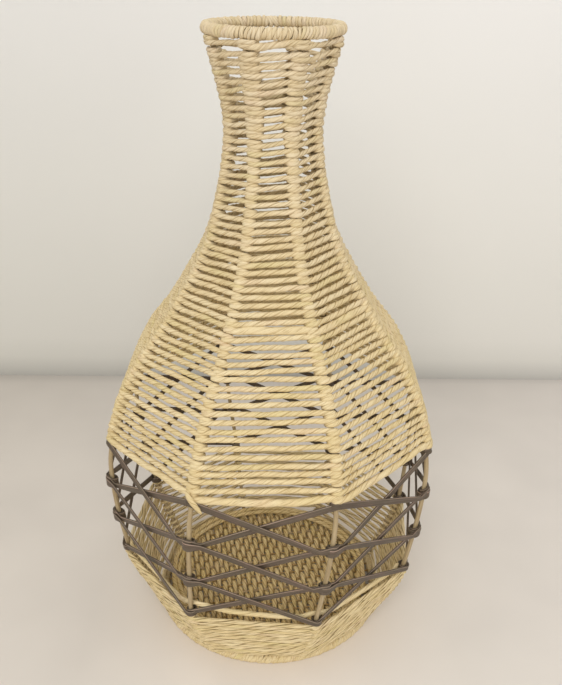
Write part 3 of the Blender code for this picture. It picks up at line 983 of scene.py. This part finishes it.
def add_loose_ropes(material):
    """Rope laid over the bowl's rim on three facets, and the cut end at the foot of the weave."""
    rim = BOWL_RIM_HEIGHT
    over_rim = [
        (LEFT - 0.02, rim + 0.0030, -0.0034, 0.0013, 0.0020),
        (LEFT + 0.06, rim + 0.0032, 0.0000, 0.0016, 0.0027),
        (LEFT + 0.20, rim + 0.0026, 0.0002, 0.0017, 0.0028),
        (LEFT + 0.40, rim + 0.0016, 0.0001, 0.0017, 0.0028),
        (LEFT + 0.62, rim + 0.0008, 0.0001, 0.0017, 0.0028),
        (LEFT + 0.82, rim + 0.0004, 0.0000, 0.0017, 0.0028),
        (LEFT + 0.92, rim + 0.0016, -0.0012, 0.0017, 0.0026),
        (LEFT + 0.98, rim + 0.0036, -0.0036, 0.0016, 0.0022),
        (FRONT + 0.02, rim + 0.0064, -0.0022, 0.0014, 0.0024),
        (FRONT + 0.06, rim + 0.0086, 0.0002, 0.0014, 0.0028),
        (FRONT + 0.12, rim + 0.0070, 0.0002, 0.0016, 0.0028),
        (FRONT + 0.18, rim + 0.0048, 0.0001, 0.0017, 0.0028),
        (FRONT + 0.28, rim + 0.0020, 0.0001, 0.0017, 0.0027),
        (FRONT + 0.45, rim + 0.0008, 0.0001, 0.0017, 0.0026),
        (FRONT + 0.60, rim + 0.0006, 0.0001, 0.0017, 0.0026),
        (FRONT + 0.75, rim + 0.0009, 0.0001, 0.0017, 0.0026),
        (FRONT + 0.88, rim + 0.0017, -0.0004, 0.0017, 0.0026),
        (FRONT + 0.97, rim + 0.0030, -0.0034, 0.0016, 0.0024),
        (RIGHT + 0.04, rim + 0.0026, -0.0028, 0.0016, 0.0024),
        (RIGHT + 0.14, rim + 0.0006, 0.0000, 0.0017, 0.0028),
        (RIGHT + 0.35, rim + 0.0002, 0.0001, 0.0017, 0.0029),
        (RIGHT + 0.60, rim + 0.0003, 0.0001, 0.0017, 0.0028),
        (RIGHT + 0.85, rim + 0.0010, -0.0002, 0.0016, 0.0026),
        (RIGHT + 0.99, rim + 0.0020, -0.0034, 0.0014, 0.0020),
    ]
    twist = (SLACK_RATE, RIM_ROPE_SOFTNESS)
    add_loose_rope("bowl_rim_rope", over_rim, material, *twist, RIM_ROPE_END)
    foot = WEAVE_FOOT_HEIGHT
    tail = [
        (FRONT - 0.035, foot + 0.0030, 0.0052, 0.0014, 0.0018),
        (FRONT + 0.000, foot + 0.0012, 0.0074, 0.0015, 0.0022),
        (FRONT + 0.035, foot - 0.0035, 0.0078, 0.0013, 0.0025),
        (FRONT + 0.070, foot - 0.0085, 0.0066, 0.0010, 0.0022),
        (FRONT + 0.100, foot - 0.0135, 0.0054, 0.0006, 0.0007),
    ]
    add_loose_rope("rope_tail", tail, material, ROPE_RATE, TAIL_SOFTNESS, TAIL_END)


def new_node(tree, kind, inputs=(), **settings):
    node = tree.nodes.new(kind)
    for name, value in settings.items():
        setattr(node, name, value)
    for name, value in dict(inputs).items():
        if isinstance(value, bpy.types.NodeSocket):
            tree.links.new(value, node.inputs[name])
        else:
            node.inputs[name].default_value = value
    return node


def new_material(name, roughness, specular):
    material = bpy.data.materials.new(name)
    material.use_nodes = True
    shader = material.node_tree.nodes["Principled BSDF"]
    shader.inputs["Roughness"].default_value = roughness
    shader.inputs["Specular IOR Level"].default_value = specular
    return material, material.node_tree, shader


def strand_noise(tree, along, around, detail):
    """Noise drawn out along a strand: its grain length and grain width in metres."""
    uv = new_node(tree, "ShaderNodeUVMap", uv_map="strand")
    stretch = {"Vector": uv.outputs["UV"], "Scale": (1 / along, 1 / around, 1.0)}
    scaled = new_node(tree, "ShaderNodeMapping", stretch)
    grain = {"Vector": scaled.outputs["Vector"], "Scale": 1.0, "Detail": detail, "Roughness": 0.6}
    return new_node(tree, "ShaderNodeTexNoise", grain).outputs["Fac"]


def place_noise(tree, scale):
    """Even noise in space."""
    place = new_node(tree, "ShaderNodeTexCoord")
    grain = {"Vector": place.outputs["Object"], "Scale": scale}
    return new_node(tree, "ShaderNodeTexNoise", grain).outputs["Fac"]


def stretch_of(tree, vector, axis, low, high):
    """Share of the way from low to high along one axis of a vector, from nought to one."""
    parts = new_node(tree, "ShaderNodeSeparateXYZ", {"Vector": vector})
    ends = {"Value": parts.outputs[axis], "From Min": low, "From Max": high}
    return new_node(tree, "ShaderNodeMapRange", ends).outputs["Result"]


def colour_ramp(tree, factor, stops):
    ramp = new_node(tree, "ShaderNodeValToRGB", {"Fac": factor})
    elements = ramp.color_ramp.elements
    while len(elements) < len(stops):
        elements.new(0.5)
    for element, (place, colour) in zip(elements, stops):
        element.position = place
        element.color = (*colour, 1)
    return ramp.outputs["Color"]


def multiplied(tree, colour, factor):
    mix = new_node(tree, "ShaderNodeMix", data_type="RGBA", blend_type="MULTIPLY")
    mix.inputs[0].default_value = 1.0
    tree.links.new(colour, mix.inputs[6])
    tree.links.new(factor, mix.inputs[7])
    return mix.outputs[2]


def bumped(tree, shader, height, distance, strength, below=None):
    bump = new_node(tree, "ShaderNodeBump", {"Height": height})
    bump.inputs["Distance"].default_value = distance
    bump.inputs["Strength"].default_value = strength
    if below:
        tree.links.new(below.outputs["Normal"], bump.inputs["Normal"])
    tree.links.new(bump.outputs["Normal"], shader.inputs["Normal"])
    return bump


def rope_material(name, shade=WHITE, depth=(0.60, 0.51, 0.39)):
    """Twisted paper: tints that change along the strand, creases with painted shade and fibres that
    follow it.

    Shade multiplies the tints, and depth is the painted shade that the deepest grooves get.
    """
    material, tree, shader = new_material(name, 0.78, 0.28)
    shaded_creases = strand_noise(tree, 0.011, 0.00075, 3.0)
    fibres = strand_noise(tree, 0.004, 0.00022, 2.0)
    groove = new_node(tree, "ShaderNodeAttribute", attribute_name="groove_shade").outputs["Fac"]
    place = new_node(tree, "ShaderNodeTexCoord").outputs["Object"]
    height = stretch_of(tree, place, "Z", *COOL_LIGHT_HEIGHTS)
    tints = [
        (stop, tuple(part * amount for part, amount in zip(tint, shade)))
        for stop, tint in ROPE_TINTS
    ]
    colour = colour_ramp(tree, strand_noise(tree, 0.060, 1.0, 1.5), tints)
    shallow_groove_shade = tuple(part**0.3 for part in depth)
    for factor, stops in (
        # Painted shade along the crease streaks, which the bump also sinks
        (shaded_creases, [(0.30, (0.60, 0.53, 0.43)), (0.46, (0.96, 0.95, 0.94)), (0.7, WHITE)]),
        (fibres, [(0.25, (0.84, 0.82, 0.78)), (0.6, WHITE), (0.8, WHITE)]),
        # Painted shade in the section's grooves, darkest where the groove is deepest
        (groove, [(0.03, WHITE), (0.15, shallow_groove_shade), (0.30, depth)]),
        # Painted cool light: bluer towards the top
        (height, [(0.0, WHITE), (1.0, (0.96, 0.98, 1.14))]),
    ):
        colour = multiplied(tree, colour, colour_ramp(tree, factor, stops))
    tree.links.new(colour, shader.inputs["Base Color"])
    below = bumped(tree, shader, shaded_creases, 0.0005, 0.55)
    bumped(tree, shader, fibres, 0.00012, 0.4, below)
    return material


def wire_material():
    """Satin tan paint, brushed on along the wire and worn thin in places."""
    material, tree, shader = new_material("painted_wire", 0.42, 0.45)
    streaks = strand_noise(tree, 0.030, 0.0016, 3.0)
    tans = [(0.28, (0.27, 0.19, 0.10)), (0.45, (0.38, 0.285, 0.155)), (0.7, (0.47, 0.37, 0.22))]
    colour = colour_ramp(tree, streaks, tans)
    chips = strand_noise(tree, 0.0020, 0.0015, 2.0)
    worn = colour_ramp(tree, chips, [(0.22, (0.55, 0.50, 0.45)), (0.33, WHITE)])
    tree.links.new(multiplied(tree, colour, worn), shader.inputs["Base Color"])
    bumped(tree, shader, streaks, 0.0002, 0.35)
    return material


def strip_material():
    """Flat dark paper strip with fine lines along it, a painted highlight line along it and a faint
    sheen.
    """
    material, tree, shader = new_material("dark_strip", 0.46, 0.5)
    lines = strand_noise(tree, 0.045, 0.00055, 3.0)
    patches = strand_noise(tree, 0.030, 0.02, 2.0)
    uv = new_node(tree, "ShaderNodeUVMap", uv_map="strand").outputs["UV"]
    around = stretch_of(tree, uv, "Y", 0.0, STRIP_GIRTH)
    browns = [
        (0.30, (0.056, 0.041, 0.030)),
        (0.50, (0.100, 0.075, 0.055)),
        (0.72, (0.165, 0.128, 0.100)),
    ]
    painted_highlight = (3.3, 3.3, 3.6)
    colour = colour_ramp(tree, lines, browns)
    for factor, stops in (
        (patches, [(0.3, (0.84, 0.88, 0.74)), (0.7, (1.08, 0.94, 0.88))]),
        # Painted highlight: a bright line along the strip's outer face
        (around, [(0.85, WHITE), (0.88, painted_highlight), (0.91, painted_highlight), (0.94, WHITE)]),
    ):
        colour = multiplied(tree, colour, colour_ramp(tree, factor, stops))
    tree.links.new(colour, shader.inputs["Base Color"])
    bumped(tree, shader, lines, 0.0004, 0.5)
    return material


def cad_wire_material():
    """The ring wires inside their wraps and the cross wires under the mat."""
    material, tree, shader = new_material("ring_wire", 0.45, 0.45)
    noise = place_noise(tree, 220.0)
    colour = colour_ramp(tree, noise, [(0.35, (0.42, 0.30, 0.16)), (0.65, (0.60, 0.46, 0.26))])
    tree.links.new(colour, shader.inputs["Base Color"])
    bumped(tree, shader, noise, 0.0002, 0.3)
    return material


def stage_plane(name, corners, colour, grain, painted_fades):
    """A plain sheet of floor or wall with a slight mottle and fades of painted light and shade
    along its axes.

    It is seen from its front only, so that it never stands in the way of a view from behind.
    """
    mesh = bpy.data.meshes.new(name)
    mesh.from_pydata(corners, [], [(0, 1, 2, 3)])
    material, tree, shader = new_material(name, 0.9, 0.1)
    dull = tuple(part * MOTTLE_SHADE for part in colour)
    mottled = colour_ramp(tree, place_noise(tree, grain), [(0.35, dull), (0.65, colour)])
    place = new_node(tree, "ShaderNodeTexCoord").outputs["Object"]
    for axis, low, high, stops in painted_fades:
        share = stretch_of(tree, place, axis, low, high)
        mottled = multiplied(tree, mottled, colour_ramp(tree, share, stops))
    tree.links.new(mottled, shader.inputs["Base Color"])
    side = new_node(tree, "ShaderNodeNewGeometry")
    clear = new_node(tree, "ShaderNodeBsdfTransparent")
    seen = new_node(tree, "ShaderNodeMixShader", {"Fac": side.outputs["Backfacing"]})
    tree.links.new(shader.outputs["BSDF"], seen.inputs[1])
    tree.links.new(clear.outputs["BSDF"], seen.inputs[2])
    tree.links.new(seen.outputs["Shader"], tree.nodes["Material Output"].inputs["Surface"])
    mesh.materials.append(material)
    sheet = bpy.data.objects.new(name, mesh)
    bpy.context.scene.collection.objects.link(sheet)


def add_stage():
    """Floor, and a wall square to the camera, which meet in a straight line behind the vase."""
    lean = CAMERA_YAW * STAGE_REACH
    left = (-STAGE_REACH, WALL_DISTANCE + lean)
    right = (STAGE_REACH, WALL_DISTANCE - lean)
    near = ((-STAGE_REACH, -STAGE_REACH, 0), (STAGE_REACH, -STAGE_REACH, 0))
    floor = (*near, (*right, 0), (*left, 0))
    wall = ((*left, 0), (*right, 0), (*right, WALL_TOP), (*left, WALL_TOP))
    stage_plane("floor", floor, FLOOR_COLOUR, FLOOR_GRAIN, FLOOR_PAINTED_FADES)
    stage_plane("wall", wall, WALL_COLOUR, WALL_GRAIN, WALL_PAINTED_FADES)


def add_light(name, place, target, size, power, colour):
    lamp = bpy.data.lights.new(name, "AREA")
    lamp.shape = "DISK"
    lamp.size = size
    lamp.energy = power
    lamp.color = colour
    holder = bpy.data.objects.new(name, lamp)
    holder.location = place
    aim = Vector(target) - Vector(place)
    holder.rotation_euler = aim.to_track_quat("-Z", "Y").to_euler()
    bpy.context.scene.collection.objects.link(holder)


def add_lights():
    add_light("key", (-0.25, -2.75, 2.30), (0, 0, 0.18), 2.4, 63.0, (1.0, 0.985, 0.955))
    add_light("top", (-0.4, 0.2, 3.6), (0, 0, 0.0), 2.6, 13.0, (0.93, 0.97, 1.0))
    world = bpy.data.worlds.new("room")
    world.use_nodes = True
    background = world.node_tree.nodes["Background"]
    background.inputs["Color"].default_value = (1.0, 0.985, 0.96, 1)
    background.inputs["Strength"].default_value = 0.64
    bpy.context.scene.world = world


def add_camera():
    """Camera at the photograph's viewpoint, in the upright frame of the vase."""
    yaw = CAMERA_YAW
    pitch = CAMERA_PITCH
    right = Vector((math.cos(yaw), -math.sin(yaw), 0))
    up = Vector((math.sin(pitch) * math.sin(yaw), math.sin(pitch) * math.cos(yaw), math.cos(pitch)))
    side = right * math.cos(CAMERA_ROLL) + up * math.sin(CAMERA_ROLL)
    top = up * math.cos(CAMERA_ROLL) - right * math.sin(CAMERA_ROLL)
    back = side.cross(top)
    turn = Matrix.Rotation(CAMERA_TURN, 3, "Z")
    place = turn @ Vector((0, -CAMERA_DISTANCE, CAMERA_HEIGHT))
    columns = [turn @ side, turn @ top, turn @ back]
    data = bpy.data.cameras.new("camera")
    data.sensor_width = SENSOR
    data.lens = FOCAL_PIXELS / IMAGE_HEIGHT * SENSOR
    data.clip_start = 0.01
    camera = bpy.data.objects.new("camera", data)
    camera.matrix_world = Matrix.Translation(place) @ Matrix(columns).transposed().to_4x4()
    bpy.context.scene.collection.objects.link(camera)
    bpy.context.scene.camera = camera


def save_size():
    """Brings the view layer up to date."""
    bpy.context.view_layer.update()


def build():
    add_camera()
    rope = rope_material("paper_rope")
    # The bowl's grooves get a much darker painted shade, drawn as dark lines between its courses
    bowl = rope_material("bowl_rope", depth=(0.20, 0.15, 0.09))
    # The mat is tinted warmer, and its grooves get a deeper painted shade
    mat = rope_material("mat_rope", (1.05, 1.02, 0.91), (0.50, 0.40, 0.28))
    # The wefts are a darker copy of the rope: painted shade in the mat's slots
    weft = rope_material("mat_weft", (0.62, 0.52, 0.40))
    wire = wire_material()
    strip = strip_material()
    add_wires(wire)
    add_upper_weave(rope)
    add_bowl(bowl)
    rim = (RIM_RADIUS, RIM_HEIGHT, RIM_BINDING_RADIUS)
    base = (BASE_RADIUS, BASE_HEIGHT, BASE_BINDING_RADIUS)
    add_wrap("rim_wrap", "rim_binding", rim, RIM_WRAPS, RIM_SLANT, RIM_SEED, rope)
    add_wrap("base_wrap", "base_binding", base, BASE_WRAPS, BASE_SLANT, BASE_SEED, rope)
    add_lattice(strip)
    add_mat(mat, weft)
    add_loose_ropes(rope)
    ring = cad_wire_material()
    for name in ("rim_ring", "base_ring", *(f"cross_wire_{index}" for index in range(1, 5))):
        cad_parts[name].data.materials.clear()
        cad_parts[name].data.materials.append(ring)
    add_stage()
    add_lights()
    bpy.context.scene.view_settings.view_transform = "Standard"


build()
save_size()
